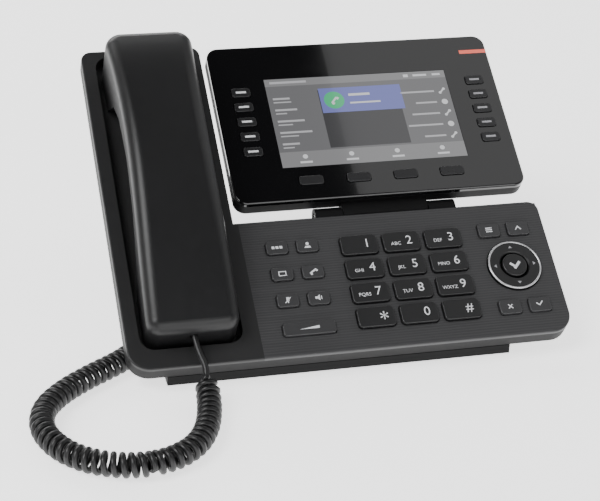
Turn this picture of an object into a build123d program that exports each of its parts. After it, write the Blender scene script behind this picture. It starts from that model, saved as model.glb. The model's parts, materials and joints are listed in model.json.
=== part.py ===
from build123d import *
import os
from math import cos, pi, radians, sin, tan

# Desk IP phone, in millimetres. +X is to the user's right, +Y is away from the user, +Z is up.
# The origin is on the desk, under the middle of the phone (its cord left out).
# The whole face of the phone leans back, so most pieces are drawn on the sloping plane BASE:
# its x runs across the phone, its y up the slope from the front edge, and its z out of the face.

# ---------------------------------------------------------------- driving dimensions
FACE_TILT = 30.0          # slope of the face above the desk
HALF_WIDTH = 124.0        # half the width of the whole phone
FRONT_Y = -93.2           # front edge of the face
FRONT_Z = 16.0            # height of that edge above the desk
SPLIT_X = -52.0           # line between the handset cradle and the keypad
CRADLE_RIGHT = -54.5      # the cradle's free right edge, beside the display
KEYPAD_LENGTH = 85.2      # keypad, measured up the slope
CRADLE_LENGTH = 209.0
PLATE = 2.5               # thickness of the keypad plate and of the cradle's top
RIM = 11.5                # depth of the thin outer rim of the body
BELLY = 22.0              # depth of the thick part of the body, which stays out of sight
WALL = 2.2                # moulded wall
CORNER = 12.0             # front corners of the body
REAR_CORNER = 6.0

KEY_GAP = 0.35            # clearance round a key in its hole
FLANGE = 0.8              # width of the flange that keeps a key in
BOARD_TOP = -5.4          # upper face of the circuit board
BOARD_THICK = 1.6

DIAL_PITCH_X, DIAL_PITCH_Y = 24.5, 15.3
DIAL_X, DIAL_Y = 13.1, 64.3             # centre of the "1" key
DIAL_KEY = (21.2, 12.2)
FUNCTION_KEY = (12.2, 8.0)
FUNCTION_X = (-33.4, -16.1)
FUNCTION_Y = (66.6, 49.9, 33.2)
SIDE_FUNCTION_KEY = (12.6, 8.8)
SIDE_FUNCTION_X = (90.2, 107.6)
SIDE_FUNCTION_Y = (67.2, 17.2)
WIDE_KEY = (29.3, 7.8)
WIDE_KEY_PLACE = (-24.8, 15.3)
NAV_X, NAV_Y = 99.5, 43.2
NAV_RADIUS, NAV_HOLE, OK_RADIUS = 15.4, 8.2, 7.2
AXLE_RADIUS, AXLE_LENGTH, AXLE_Z = 0.8, 2.4, -3.4

HEAD_CENTRE_X, HEAD_WIDTH = 34.85, 171.9
HEAD_BOTTOM, HEAD_TOP = 95.8, 205.3
HEAD_FACE = 2.0           # the display's front stands this far above the keypad's face
HEAD_PLATE = 3.0
HEAD_RIM = 12.0           # depth of the display's thin edge
HEAD_BELLY = 21.0
HEAD_CORNER = 7.0
SCREEN = (110.7, 62.3)
SCREEN_PLACE = (35.0, 149.35)
LINE_KEY = (11.0, 6.0)
LINE_KEY_X = (-35.5, 107.4)
LINE_KEY_Y, LINE_KEY_PITCH = 130.2, 10.4
SOFT_KEY = (14.0, 5.8)
SOFT_KEY_X, SOFT_KEY_PITCH, SOFT_KEY_Y = -5.6, 27.9, 108.5
LAMP = (17.5, 2.6)
LAMP_Y = 193.2

HINGE_Y, HINGE_Z = 90.7, -8.5
HINGE_RADIUS, PIN_RADIUS = 4.5, 2.0
NECK_LEFT, NECK_RIGHT = -6.0, 77.0
KNUCKLE = 16.0            # width of each outer knuckle

HANDSET_X = -88.6
HANDSET_BOTTOM, HANDSET_TOP = 13.8, 200.0
POCKET_HALF_WIDTH = 27.8
POCKET_BOTTOM, POCKET_TOP = 11.3, 204.4
POCKET_DEPTH = 7.2
HOOK_Y = 182.0

COIL_DIAMETER = 13.4
CORD_DIAMETER = 3.4
SOCKET_X, SOCKET_Y, SOCKET_Z = -97.0, 95.0, -15.0   # the handset cord's socket, on BASE

BASE = Plane(
    origin=(0, FRONT_Y, FRONT_Z),
    x_dir=(1, 0, 0),
    z_dir=(0, -sin(radians(FACE_TILT)), cos(radians(FACE_TILT))),
)
DISPLAY = BASE.offset(HEAD_FACE)
FACE_AXIS = Axis(BASE.origin, BASE.z_dir)
os.makedirs("parts", exist_ok=True)


def save(builder, name):
    """Name a finished piece and write it."""
    builder.part.label = name
    export_step(builder.part, f"parts/{name}.step")


def side_plane(x):
    """Plane across the phone at x: its x runs up the slope and its y out of the face."""
    return Plane(origin=BASE.origin + Vector(x, 0, 0), x_dir=BASE.y_dir, z_dir=(1, 0, 0))


def upright_plane(x):
    """Upright plane across the phone at x: its x is distance behind the front edge, its y is height."""
    return Plane(origin=(x, FRONT_Y, 0), x_dir=(0, 1, 0), z_dir=(1, 0, 0))


def block(x_range, y_range, corner=0.0):
    """Rectangle between two x and two y values, with rounded corners if asked."""
    width = x_range[1] - x_range[0]
    depth = y_range[1] - y_range[0]
    centre = ((x_range[0] + x_range[1]) / 2, (y_range[0] + y_range[1]) / 2)
    with BuildSketch() as sketch:
        with Locations(centre):
            if corner > 0:
                RectangleRounded(width, depth, corner)
            else:
                Rectangle(width, depth)
    return sketch.sketch


def body_outline(inset=0.0):
    """L-shaped outline of the body: the keypad with the long cradle on its left."""
    with BuildSketch() as sketch:
        with BuildLine():
            Polyline(
                (-HALF_WIDTH, 0),
                (HALF_WIDTH, 0),
                (HALF_WIDTH, KEYPAD_LENGTH),
                (CRADLE_RIGHT, KEYPAD_LENGTH),
                (CRADLE_RIGHT, CRADLE_LENGTH),
                (-HALF_WIDTH, CRADLE_LENGTH),
                close=True,
            )
        make_face()
        front = sketch.vertices().group_by(Axis.Y)[0]
        fillet(front, CORNER)
        rear = sketch.vertices().group_by(Axis.Y)[-1] + [sketch.vertices().sort_by(Axis.X)[-1]]
        fillet(rear, REAR_CORNER)
        if inset > 0:
            offset(amount=-inset, kind=Kind.INTERSECTION)
    return sketch.sketch


# ---------------------------------------------------------------- keypad places
DIAL_NAMES = ("1", "2", "3", "4", "5", "6", "7", "8", "9", "star", "0", "hash")
LINE_KEY_ROWS = range(5)


def dial_places():
    """Name and centre of each dial key, row by row from the top."""
    for index, name in enumerate(DIAL_NAMES):
        row, column = divmod(index, 3)
        yield name, (DIAL_X + column * DIAL_PITCH_X, DIAL_Y - row * DIAL_PITCH_Y)


def function_places():
    """Names, centres and sizes of the small keys around the dial keys."""
    for row, y in enumerate(FUNCTION_Y):
        for column, x in enumerate(FUNCTION_X):
            yield f"function_key_{row + 1}_{column + 1}", (x, y), FUNCTION_KEY
    for row, y in enumerate(SIDE_FUNCTION_Y):
        for column, x in enumerate(SIDE_FUNCTION_X):
            yield f"side_function_key_{row + 1}_{column + 1}", (x, y), SIDE_FUNCTION_KEY
    yield "wide_function_key", WIDE_KEY_PLACE, WIDE_KEY


def display_key_places():
    """Names, centres and sizes of the keys around the screen."""
    for side, x in zip(("left", "right"), LINE_KEY_X):
        for row in LINE_KEY_ROWS:
            place = (x, LINE_KEY_Y + row * LINE_KEY_PITCH)
            yield f"line_key_{side}_{len(LINE_KEY_ROWS) - row}", place, LINE_KEY
    for column in range(4):
        yield f"soft_key_{column + 1}", (SOFT_KEY_X + column * SOFT_KEY_PITCH, SOFT_KEY_Y), SOFT_KEY


def key_holes(places, corner):
    """Sketch of the clearance holes for keys at (name, centre, size)."""
    with BuildSketch() as sketch:
        for _, centre, size in places:
            with Locations(centre):
                RectangleRounded(size[0] + 2 * KEY_GAP, size[1] + 2 * KEY_GAP, corner + KEY_GAP)
    return sketch.sketch


def make_key(name, face, plate, centre, size, rise, corner, crown):
    """A key: a cap that stands out of its plate, with a retaining flange behind the plate."""
    flange_top = -plate - 0.1
    with BuildPart() as key:
        with BuildSketch(face.offset(flange_top - FLANGE)):
            with Locations(centre):
                RectangleRounded(size[0] + 2 * FLANGE, size[1] + 2 * FLANGE, corner)
        extrude(amount=FLANGE)
        with BuildSketch(face.offset(flange_top)):
            with Locations(centre):
                RectangleRounded(size[0], size[1], corner)
        extrude(amount=rise - flange_top)
        cap = key.faces().filter_by(BASE).sort_by(FACE_AXIS)[-1]
        fillet(cap.edges(), crown)
    save(key, name)


# ---------------------------------------------------------------- body: lower shell
SCREW_PLACES = ((-36, 32), (72, 32), (72, 76), (24, 76), (-110, 103), (-69, 187))
KEYPAD_BELLY = ((-44, 80), (22, KEYPAD_LENGTH))
CRADLE_BELLY = ((-116, -63), (SOCKET_Y, 196))
PORT_BLOCK = ((-41, -6), (69, KEYPAD_LENGTH - WALL), (-19.6, -7.0))   # x, y and z ranges
PORT_SIZE = (12.4, 9.6)
PORT_DEPTH = 13.0
PORT_X = (-32.3, -14.7)
PORT_Z = -13.6
HANDSET_PORT = (8.0, 6.8)


def knuckle_profile(reach, radius_gap=0.02):
    """Hinge knuckle: a barrel round the pin with a web that runs to y = reach."""
    with BuildSketch() as sketch:
        with Locations((HINGE_Y, HINGE_Z)):
            Circle(HINGE_RADIUS)
        centre_y = (HINGE_Y + reach) / 2
        with Locations((centre_y, HINGE_Z)):
            Rectangle(abs(HINGE_Y - reach), 2 * HINGE_RADIUS)
        with Locations((HINGE_Y, HINGE_Z)):
            Circle(PIN_RADIUS + radius_gap, mode=Mode.SUBTRACT)
    return sketch.sketch


with BuildPart() as lower_shell:
    with BuildSketch(BASE.offset(-RIM)):
        add(body_outline())
    extrude(amount=RIM - PLATE)
    underside = lower_shell.faces().filter_by(BASE).sort_by(FACE_AXIS)[0]
    chamfer(underside.edges(), 1.2)
    for x_range, y_range in (KEYPAD_BELLY, CRADLE_BELLY):
        with BuildSketch(BASE.offset(-BELLY)):
            add(block(x_range, y_range))
        extrude(amount=BELLY - RIM)
    with BuildSketch(BASE.offset(WALL - RIM)):
        add(body_outline(WALL))
    extrude(amount=RIM - WALL - PLATE, mode=Mode.SUBTRACT)
    for x_range, y_range in (KEYPAD_BELLY, CRADLE_BELLY):
        with BuildSketch(BASE.offset(WALL - BELLY)):
            add(
                block(
                    (x_range[0] + WALL, x_range[1] - WALL),
                    (y_range[0] + WALL, y_range[1] - WALL),
                )
            )
        extrude(amount=BELLY - RIM, mode=Mode.SUBTRACT)
    # bosses for the case screws
    with BuildSketch(BASE.offset(-BELLY)):
        with Locations(*SCREW_PLACES):
            Circle(4.5)
    extrude(amount=BELLY - RIM + 1.5)
    with BuildSketch(BASE.offset(-BELLY)):
        with Locations(*SCREW_PLACES):
            Circle(1.4)
    extrude(amount=BELLY - PLATE, mode=Mode.SUBTRACT)
    with BuildSketch(BASE.offset(-BELLY)):
        with Locations(*SCREW_PLACES):
            Circle(3.1)
    extrude(amount=2.4, mode=Mode.SUBTRACT)
    # window in the back wall for the network sockets
    with BuildSketch(BASE.offset(PORT_BLOCK[2][0] + 0.6)):
        add(block((PORT_BLOCK[0][0] + 1, PORT_BLOCK[0][1] - 1), (KEYPAD_LENGTH - 4, KEYPAD_LENGTH + 2)))
    extrude(amount=11.2, mode=Mode.SUBTRACT)
    # hole in the front wall of the cradle's belly for the handset cord
    cord_entry = BASE.from_local_coords((SOCKET_X, SOCKET_Y, SOCKET_Z))
    with BuildSketch(Plane(cord_entry, BASE.x_dir, -BASE.y_dir)):
        Rectangle(HANDSET_PORT[0], HANDSET_PORT[1])
    extrude(amount=-2 * WALL, mode=Mode.SUBTRACT)
    # outer knuckles of the display hinge
    for left in (NECK_LEFT, NECK_RIGHT - KNUCKLE):
        with BuildSketch(side_plane(left)):
            add(knuckle_profile(KEYPAD_LENGTH - WALL))
        extrude(amount=KNUCKLE)
save(lower_shell, "lower_shell")

# ---------------------------------------------------------------- body: keypad plate
with BuildPart() as keypad_faceplate:
    with BuildSketch(BASE.offset(-PLATE)):
        add(body_outline())
        add(block((-HALF_WIDTH - 1, SPLIT_X), (-1, CRADLE_LENGTH + 1)), mode=Mode.SUBTRACT)
    extrude(amount=PLATE)
    top = keypad_faceplate.faces().filter_by(BASE).sort_by(FACE_AXIS)[-1]
    fillet(top.edges().sort_by(Axis.X)[1:], 0.8)
    with BuildSketch(BASE.offset(-PLATE)):
        add(key_holes([(name, place, DIAL_KEY) for name, place in dial_places()], 2.4))
        add(key_holes(list(function_places()), 1.8))
        with Locations((NAV_X, NAV_Y)):
            Circle(NAV_RADIUS + 0.5)
    extrude(amount=PLATE, mode=Mode.SUBTRACT)
save(keypad_faceplate, "keypad_faceplate")

# ---------------------------------------------------------------- body: handset cradle
SPEAKER_PLACE = (HANDSET_X, 148)
POCKET_X = (HANDSET_X - POCKET_HALF_WIDTH, HANDSET_X + POCKET_HALF_WIDTH)
HOOK_SIZE = (9.0, 5.0)

with BuildPart() as cradle_shell:
    with BuildSketch(BASE.offset(-PLATE)):
        add(body_outline())
        add(block((SPLIT_X, HALF_WIDTH + 1), (-1, CRADLE_LENGTH + 1)), mode=Mode.SUBTRACT)
    extrude(amount=PLATE)
    top = cradle_shell.faces().filter_by(BASE).sort_by(FACE_AXIS)[-1]
    fillet(top.edges().sort_by(Axis.X)[:-1], 0.8)
    with BuildSketch(BASE.offset(-POCKET_DEPTH - 1.8)):
        add(block((POCKET_X[0] - 1.8, POCKET_X[1] + 1.8), (POCKET_BOTTOM - 1.8, POCKET_TOP + 1.8), 9.8))
    extrude(amount=POCKET_DEPTH)
    with BuildSketch(BASE.offset(-POCKET_DEPTH)):
        add(block(POCKET_X, (POCKET_BOTTOM, POCKET_TOP), 8.0))
    extrude(amount=POCKET_DEPTH + 1, mode=Mode.SUBTRACT)
    # sound slots over the loudspeaker, and the hole for the hook switch
    with BuildSketch(BASE.offset(-POCKET_DEPTH - 3)):
        with Locations(SPEAKER_PLACE):
            with GridLocations(0, 5.0, 1, 5):
                SlotOverall(26, 1.8)
        with Locations((HANDSET_X, HOOK_Y)):
            Rectangle(HOOK_SIZE[0] + 1, HOOK_SIZE[1] + 1)
    extrude(amount=4, mode=Mode.SUBTRACT)
save(cradle_shell, "cradle_shell")

with BuildPart() as hook_switch:
    with BuildSketch(BASE.offset(-POCKET_DEPTH - 3.5)):
        with Locations((HANDSET_X, HOOK_Y)):
            Rectangle(HOOK_SIZE[0], HOOK_SIZE[1])
    extrude(amount=3.6)
save(hook_switch, "hook_switch")

with BuildPart() as loudspeaker:
    with BuildSketch(BASE.offset(-BELLY + WALL + 0.1)):
        with Locations(SPEAKER_PLACE):
            Circle(12)
    extrude(amount=5)
    with BuildSketch(BASE.offset(-BELLY + WALL + 5.1)):
        with Locations(SPEAKER_PLACE):
            Circle(20)
    extrude(amount=4)
save(loudspeaker, "loudspeaker")

# ---------------------------------------------------------------- body: board, sockets, screws
with BuildPart() as main_circuit_board:
    with BuildSketch(BASE.offset(BOARD_TOP - BOARD_THICK)):
        add(block((-49, 119), (5, KEYPAD_LENGTH - 4), 3))
    extrude(amount=BOARD_THICK)
    with BuildSketch(BASE.offset(BOARD_TOP - BOARD_THICK - 2.0)):
        with Locations((20, 45), (48, 45)):
            Rectangle(16, 16)
        with Locations((5, 34), (62, 62)):
            Rectangle(10, 7)
    extrude(amount=2.0)
save(main_circuit_board, "main_circuit_board")

with BuildPart() as socket_block:
    with BuildSketch(BASE.offset(PORT_BLOCK[2][0])):
        add(block(PORT_BLOCK[0], PORT_BLOCK[1]))
    extrude(amount=PORT_BLOCK[2][1] - PORT_BLOCK[2][0])
    port_face = BASE.from_local_coords((0, PORT_BLOCK[1][1], PORT_Z))
    with BuildSketch(Plane(port_face, BASE.x_dir, -BASE.y_dir)):
        with Locations(*[(x, 0) for x in PORT_X]):
            Rectangle(PORT_SIZE[0], PORT_SIZE[1])
    extrude(amount=PORT_DEPTH, mode=Mode.SUBTRACT)
    # the handset cord's own socket, behind the front wall of the cradle's belly
    port_mouth = BASE.from_local_coords((SOCKET_X, SOCKET_Y + WALL, SOCKET_Z))
    port_plane = Plane(port_mouth, BASE.x_dir, -BASE.y_dir)
    with BuildSketch(port_plane):
        Rectangle(HANDSET_PORT[0] + 3, HANDSET_PORT[1] - 0.8 + 3)
    extrude(amount=-12)
    with BuildSketch(port_plane):
        Rectangle(HANDSET_PORT[0], HANDSET_PORT[1] - 0.8)
    extrude(amount=-10, mode=Mode.SUBTRACT)
save(socket_block, "socket_block")

with BuildPart() as case_screws:
    with BuildSketch(BASE.offset(2.4 - BELLY - 1.8)):
        with Locations(*SCREW_PLACES):
            Circle(2.8)
    extrude(amount=1.8)
    with BuildSketch(BASE.offset(2.4 - BELLY)):
        with Locations(*SCREW_PLACES):
            Circle(1.3)
    extrude(amount=9)
save(case_screws, "case_screws")

# ---------------------------------------------------------------- stand and feet
FOOT_PAD = 1.0
FRONT_BAR_Y = (6.0, 22.0)
REAR_BAR_Y = (136.0, 150.0)
REAR_BAR_TOP = 12.0
LEFT_RIB, RIGHT_RIB = (-60.0, -57.0), (84.0, 87.0)
FRONT_BAR_X = (-103.0, 89.0)
REAR_BAR_X = (-96.0, 89.0)
PAD_SIZE = (16.0, 8.0)


def underside_height(behind):
    """Height of the rim's underside at a distance behind the front edge."""
    slope = radians(FACE_TILT)
    return FRONT_Z + (behind * sin(slope) - RIM) / cos(slope) - 0.02


def rib_profile(top_reach):
    """Side of a rib: along the desk, up under the body as far as top_reach, then down to the rear bar."""
    with BuildSketch() as sketch:
        with BuildLine():
            Polyline(
                (FRONT_BAR_Y[0], FOOT_PAD),
                (REAR_BAR_Y[1], FOOT_PAD),
                (REAR_BAR_Y[1], REAR_BAR_TOP),
                (top_reach, underside_height(top_reach)),
                (FRONT_BAR_Y[0], underside_height(FRONT_BAR_Y[0])),
                close=True,
            )
        make_face()
    return sketch.sketch


with BuildPart() as foot_stand:
    for rib, reach in ((LEFT_RIB, 122.0), (RIGHT_RIB, 77.0)):
        with BuildSketch(upright_plane(rib[0])):
            add(rib_profile(reach))
        extrude(amount=rib[1] - rib[0])
    with BuildSketch(upright_plane(FRONT_BAR_X[0])):
        with BuildLine():
            Polyline(
                (FRONT_BAR_Y[0], FOOT_PAD),
                (FRONT_BAR_Y[1], FOOT_PAD),
                (FRONT_BAR_Y[1], underside_height(FRONT_BAR_Y[1])),
                (FRONT_BAR_Y[0], underside_height(FRONT_BAR_Y[0])),
                close=True,
            )
        make_face()
    extrude(amount=FRONT_BAR_X[1] - FRONT_BAR_X[0])
    with BuildSketch(upright_plane(REAR_BAR_X[0])):
        add(block(REAR_BAR_Y, (FOOT_PAD, REAR_BAR_TOP)))
    extrude(amount=REAR_BAR_X[1] - REAR_BAR_X[0])
save(foot_stand, "foot_stand")

with BuildPart() as rubber_feet:
    with BuildSketch(Plane.XY):
        for y_range in (FRONT_BAR_Y, REAR_BAR_Y):
            for x in (REAR_BAR_X[0] + 12, REAR_BAR_X[1] - 12):
                with Locations((x, FRONT_Y + sum(y_range) / 2)):
                    RectangleRounded(PAD_SIZE[0], PAD_SIZE[1], 2)
    extrude(amount=FOOT_PAD)
save(rubber_feet, "rubber_feet")

# ---------------------------------------------------------------- display head
HEAD_X = (HEAD_CENTRE_X - HEAD_WIDTH / 2, HEAD_CENTRE_X + HEAD_WIDTH / 2)
HEAD_Y = (HEAD_BOTTOM, HEAD_TOP)
HEAD_BELLY_X, HEAD_BELLY_Y = (-25.0, 95.0), (106.0, 192.0)
DISPLAY_KNUCKLE = (NECK_LEFT + KNUCKLE + 0.5, NECK_RIGHT - KNUCKLE - 0.5)


def inner_block(x_range, y_range, wall, corner=0.0):
    """The same rectangle with a wall taken off all round."""
    return block(
        (x_range[0] + wall, x_range[1] - wall),
        (y_range[0] + wall, y_range[1] - wall),
        max(corner - wall, 0),
    )


with BuildPart() as display_rear_shell:
    with BuildSketch(DISPLAY.offset(-HEAD_RIM)):
        add(block(HEAD_X, HEAD_Y, HEAD_CORNER))
    extrude(amount=HEAD_RIM - HEAD_PLATE)
    back = display_rear_shell.faces().filter_by(BASE).sort_by(FACE_AXIS)[0]
    fillet(back.edges(), 3.0)
    with BuildSketch(DISPLAY.offset(-HEAD_RIM)):
        add(block(HEAD_BELLY_X, HEAD_BELLY_Y, 6))
    extrude(amount=HEAD_RIM - HEAD_BELLY, taper=20)
    with BuildSketch(DISPLAY.offset(WALL - HEAD_RIM)):
        add(inner_block(HEAD_X, HEAD_Y, WALL, HEAD_CORNER))
    extrude(amount=HEAD_RIM - WALL - HEAD_PLATE, mode=Mode.SUBTRACT)
    with BuildSketch(DISPLAY.offset(WALL - HEAD_RIM)):
        add(inner_block(HEAD_BELLY_X, HEAD_BELLY_Y, 2 * WALL, 6))
    extrude(amount=HEAD_RIM - HEAD_BELLY, taper=20, mode=Mode.SUBTRACT)
    with BuildSketch(side_plane(DISPLAY_KNUCKLE[0])):
        add(knuckle_profile(HEAD_BOTTOM + 1.5, 0.06))
    extrude(amount=DISPLAY_KNUCKLE[1] - DISPLAY_KNUCKLE[0])
save(display_rear_shell, "display_rear_shell")

with BuildPart() as hinge_pin:
    with BuildSketch(side_plane(NECK_LEFT + 0.5)):
        with Locations((HINGE_Y, HINGE_Z)):
            Circle(PIN_RADIUS)
    extrude(amount=NECK_RIGHT - NECK_LEFT - 1)
save(hinge_pin, "hinge_pin")

LAMP_X = (HEAD_X[1] - LAMP[0], HEAD_X[1])
LAMP_RANGE_Y = (LAMP_Y - LAMP[1] / 2, LAMP_Y + LAMP[1] / 2)

with BuildPart() as display_front_panel:
    with BuildSketch(DISPLAY.offset(-HEAD_PLATE)):
        add(block(HEAD_X, HEAD_Y, HEAD_CORNER))
    extrude(amount=HEAD_PLATE)
    front = display_front_panel.faces().filter_by(BASE).sort_by(FACE_AXIS)[-1]
    fillet(front.edges(), 1.2)
    with BuildSketch(DISPLAY.offset(-HEAD_PLATE)):
        add(key_holes(list(display_key_places()), 1.6))
        with Locations(SCREEN_PLACE):
            Rectangle(SCREEN[0] + 0.4, SCREEN[1] + 0.4)
        add(block((LAMP_X[0] - 0.1, LAMP_X[1] + 1), (LAMP_RANGE_Y[0] - 0.1, LAMP_RANGE_Y[1] + 0.1)))
    extrude(amount=HEAD_PLATE, mode=Mode.SUBTRACT)
save(display_front_panel, "display_front_panel")

with BuildPart() as message_lamp:
    with BuildSketch(DISPLAY.offset(-HEAD_PLATE)):
        add(block(LAMP_X, LAMP_RANGE_Y))
    extrude(amount=HEAD_PLATE)
    outer_edge = message_lamp.edges().filter_by(Axis(BASE.origin, BASE.y_dir)).sort_by(Axis.X)[-2:]
    fillet(outer_edge.sort_by(FACE_AXIS)[-1], 1.2)
save(message_lamp, "message_lamp")

with BuildPart() as lcd_panel:
    with BuildSketch(DISPLAY.offset(-HEAD_PLATE - 3.5)):
        with Locations(SCREEN_PLACE):
            Rectangle(SCREEN[0] + 8, SCREEN[1] + 8)
    extrude(amount=3.4)
    with BuildSketch(DISPLAY.offset(-HEAD_PLATE - 0.1)):
        with Locations(SCREEN_PLACE):
            Rectangle(SCREEN[0], SCREEN[1])
    extrude(amount=HEAD_PLATE)
save(lcd_panel, "lcd_panel")

# ---------------------------------------------------------------- keys
for dial_name, dial_centre in dial_places():
    make_key(f"dial_key_{dial_name}", BASE, PLATE, dial_centre, DIAL_KEY, 2.0, 2.4, 0.7)
for key_name, key_centre, key_size in function_places():
    make_key(key_name, BASE, PLATE, key_centre, key_size, 1.6, 1.8, 0.6)
for key_name, key_centre, key_size in display_key_places():
    make_key(key_name, DISPLAY, HEAD_PLATE, key_centre, key_size, 0.9, 1.6, 0.4)

with BuildPart() as nav_ring:
    with BuildSketch(BASE.offset(-3.6)):
        with Locations((NAV_X, NAV_Y)):
            Circle(NAV_RADIUS)
            Circle(NAV_HOLE, mode=Mode.SUBTRACT)
    extrude(amount=5.4)
    ring_top = nav_ring.faces().filter_by(BASE).sort_by(FACE_AXIS)[-1]
    chamfer(ring_top.edges(), 0.7)
    # stub axles behind the plate, on which it rocks
    for inner_x in (NAV_X - NAV_RADIUS - AXLE_LENGTH, NAV_X + NAV_RADIUS - 1):
        with BuildSketch(side_plane(inner_x)):
            with Locations((NAV_Y, AXLE_Z)):
                Circle(AXLE_RADIUS)
        extrude(amount=AXLE_LENGTH + 1)
save(nav_ring, "nav_ring")

with BuildPart() as ok_button:
    with BuildSketch(BASE.offset(-3.6)):
        with Locations((NAV_X, NAV_Y)):
            Circle(OK_RADIUS)
    extrude(amount=5.8)
    button_top = ok_button.faces().filter_by(BASE).sort_by(FACE_AXIS)[-1]
    fillet(button_top.edges(), 1.0)
save(ok_button, "ok_button")

# ---------------------------------------------------------------- handset
# Its side view is drawn on the slope: along it from the mouth end, and out of the face.
HANDSET_WALL = 2.6
HANDSET_CROWN = 7.0       # rounding of the upper edges
HALF_WIDTHS = ((HANDSET_BOTTOM, 25.0), (55, 24.4), (112, 22.8), (165, 23.4), (HANDSET_TOP, 25.4))
TOP_LINE = (
    (HANDSET_BOTTOM, 15.0),
    (48, 24.5),
    (90, 33.5),
    (125, 37.5),
    (158, 37.0),
    (184, 33.5),
    (HANDSET_TOP, 29.0),
)
PARTING = (
    (HANDSET_BOTTOM, 3.5),
    (50, 14.0),
    (85, 26.0),
    (118, 30.0),
    (150, 28.0),
    (174, 17.0),
    (HANDSET_TOP, 9.0),
)
CAP_Z = 0.3 - POCKET_DEPTH
UNDERSIDE = (
    (HANDSET_BOTTOM, CAP_Z),
    (46.0, CAP_Z),
    (62.0, 9.0),
    (84.0, 18.5),
    (116.0, 23.0),
    (146.0, 20.0),
    (160.0, 12.0),
    (171.0, CAP_Z),
    (HANDSET_TOP, CAP_Z),
)


def handset_plan(inset=0.0):
    """Outline seen from above the face: wide ends and a narrower grip."""
    ends = (HANDSET_BOTTOM + inset, HANDSET_TOP - inset)
    with BuildSketch() as sketch:
        with BuildLine():
            sides = []
            for side in (-1, 1):
                points = [
                    (HANDSET_X + side * (half - inset), min(max(y, ends[0]), ends[1]))
                    for y, half in HALF_WIDTHS
                ]
                sides.append(Spline(*points))
            Line(sides[0] @ 0, sides[1] @ 0)
            Line(sides[0] @ 1, sides[1] @ 1)
        make_face()
        fillet(sketch.vertices().group_by(Axis.Y)[0], 7.5 - 0.5 * inset)
        fillet(sketch.vertices().group_by(Axis.Y)[-1], 9.5 - 0.5 * inset)
    return sketch.sketch


def shifted(points, inset):
    """Points of a side line moved inwards: its two ends along the handset, all of it in height."""
    moved = [(y, z + inset) for y, z in points]
    moved[0] = (moved[0][0] + abs(inset), moved[0][1])
    moved[-1] = (moved[-1][0] - abs(inset), moved[-1][1])
    return moved


def between(upper, lower, lower_is_curved):
    """Side view of the solid between an upper curve and a lower line."""
    with BuildSketch() as sketch:
        with BuildLine():
            top = Spline(*upper)
            if lower_is_curved:
                bottom = Spline(*lower)
            else:
                bottom = Polyline(*lower)
            Line(top @ 0, bottom @ 0)
            Line(top @ 1, bottom @ 1)
        make_face()
    return sketch.sketch


def handset_solid(profile, plan):
    """Solid with the given side view and plan."""
    with BuildPart() as solid:
        with BuildSketch(side_plane(HANDSET_X - 50)):
            add(profile)
        extrude(amount=100)
        with BuildSketch(BASE.offset(-20)):
            add(plan)
        extrude(amount=80, mode=Mode.INTERSECT)
    return solid.part


HANDSET_CAVITY = handset_solid(
    between(shifted(TOP_LINE, -HANDSET_WALL), shifted(UNDERSIDE, HANDSET_WALL), False),
    handset_plan(HANDSET_WALL),
)
CORD_HOLE_Z = 6.5

with BuildPart() as handset_outer_shell:
    add(handset_solid(between(TOP_LINE, PARTING, True), handset_plan()))
    crown_edges = handset_outer_shell.faces().sort_by(FACE_AXIS)[-1].edges()
    fillet(crown_edges, HANDSET_CROWN)
    add(HANDSET_CAVITY, mode=Mode.SUBTRACT)
    cord_hole = BASE.from_local_coords((HANDSET_X, HANDSET_BOTTOM - 1, CORD_HOLE_Z))
    with BuildSketch(Plane(cord_hole, BASE.x_dir, BASE.y_dir)):
        Circle(CORD_DIAMETER / 2 + 0.4)
    extrude(amount=HANDSET_WALL + 2, mode=Mode.SUBTRACT)
save(handset_outer_shell, "handset_outer_shell")

RECEIVER_Y, MICROPHONE_Y = 184.5, 31.0
with BuildPart() as handset_inner_shell:
    add(handset_solid(between(PARTING, UNDERSIDE, False), handset_plan()))
    add(HANDSET_CAVITY, mode=Mode.SUBTRACT)
    with BuildSketch(BASE.offset(CAP_Z - 1)):
        with Locations((HANDSET_X, RECEIVER_Y)):
            with PolarLocations(6, 6):
                Circle(1.1)
            Circle(1.1)
        with Locations((HANDSET_X, MICROPHONE_Y)):
            with GridLocations(4, 0, 3, 1):
                Circle(0.9)
    extrude(amount=HANDSET_WALL + 2, mode=Mode.SUBTRACT)
save(handset_inner_shell, "handset_inner_shell")

for capsule_name, place_y, radius, depth in (
    ("handset_receiver", RECEIVER_Y, 11.5, 7.0),
    ("handset_microphone", MICROPHONE_Y, 6.0, 5.0),
):
    with BuildPart() as capsule:
        with BuildSketch(BASE.offset(CAP_Z + HANDSET_WALL + 0.05)):
            with Locations((HANDSET_X, place_y)):
                Circle(radius)
        extrude(amount=depth)
        with BuildSketch(BASE.offset(CAP_Z + HANDSET_WALL + 0.05 + depth)):
            with Locations((HANDSET_X, place_y)):
                Circle(radius * 0.6)
        extrude(amount=2.5)
    save(capsule, capsule_name)

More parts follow.
